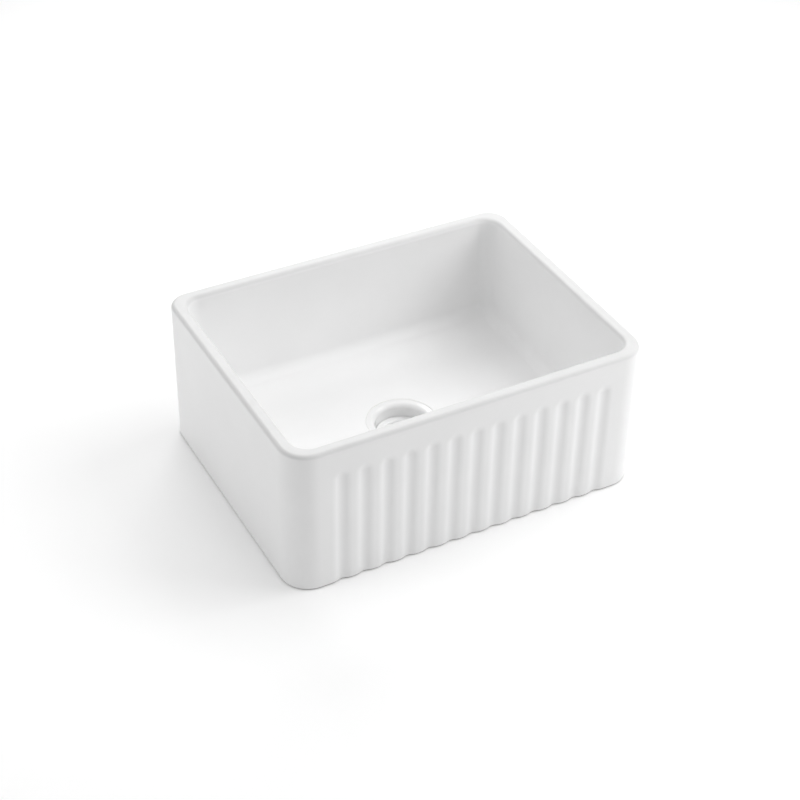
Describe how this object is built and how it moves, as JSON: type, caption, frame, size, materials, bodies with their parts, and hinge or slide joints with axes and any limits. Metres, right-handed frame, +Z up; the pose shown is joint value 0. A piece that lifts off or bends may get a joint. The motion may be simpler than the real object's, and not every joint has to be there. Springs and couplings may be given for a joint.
{
  "type": "farmhouse apron front sink",
  "caption": "White fireclay kitchen sink with a fluted apron front, one deep rounded bowl, a central waste and a lift-out basket strainer.",
  "frame": {"origin": "on the ground under the middle of the sink, on the axis of the waste hole", "axes": "+X to the right along the apron for someone standing in front of it, +Y from the apron to the back, +Z up"},
  "size_m": [0.597, 0.457, 0.25],
  "materials": {
    "glazed_fireclay": "glossy white glaze",
    "white_enamel": "gloss white enamel on pressed steel",
    "white_sealant": "satin white silicone",
    "black_rubber": "matte",
    "fibre": "matte pressed fibre",
    "nut_brass": "cast, dull",
    "outlet_brass": "turned",
    "stainless": "brushed stainless",
    "white_knob": "gloss white"
  },
  "bodies": {
    "sink": {"sink_body": "glazed_fireclay", "strainer_body": "white_enamel", "flange_sealant": "white_sealant", "rubber_gasket": "black_rubber", "friction_washer": "fibre", "locknut": "nut_brass", "outlet_nipple": "outlet_brass", "post_crossbar": "stainless"},
    "basket_collar": {"post_clip": "stainless"},
    "basket": {"basket_shell": "white_enamel", "basket_knob": "white_knob", "basket_post": "stainless", "stopper_seal": "black_rubber", "seal_washer": "stainless", "post_nut": "outlet_brass"}
  },
  "joints": [
    {"name": "basket_lift", "type": "slide", "parent": "sink", "child": "basket_collar", "axis": [0, 0, 1], "range_m": [0, 0.26]},
    {"name": "basket_turn", "type": "hinge", "parent": "basket_collar", "child": "basket", "pos_m": [0, 0, 0.0117], "axis": [0, 0, 1], "continuous": true}
  ]
}
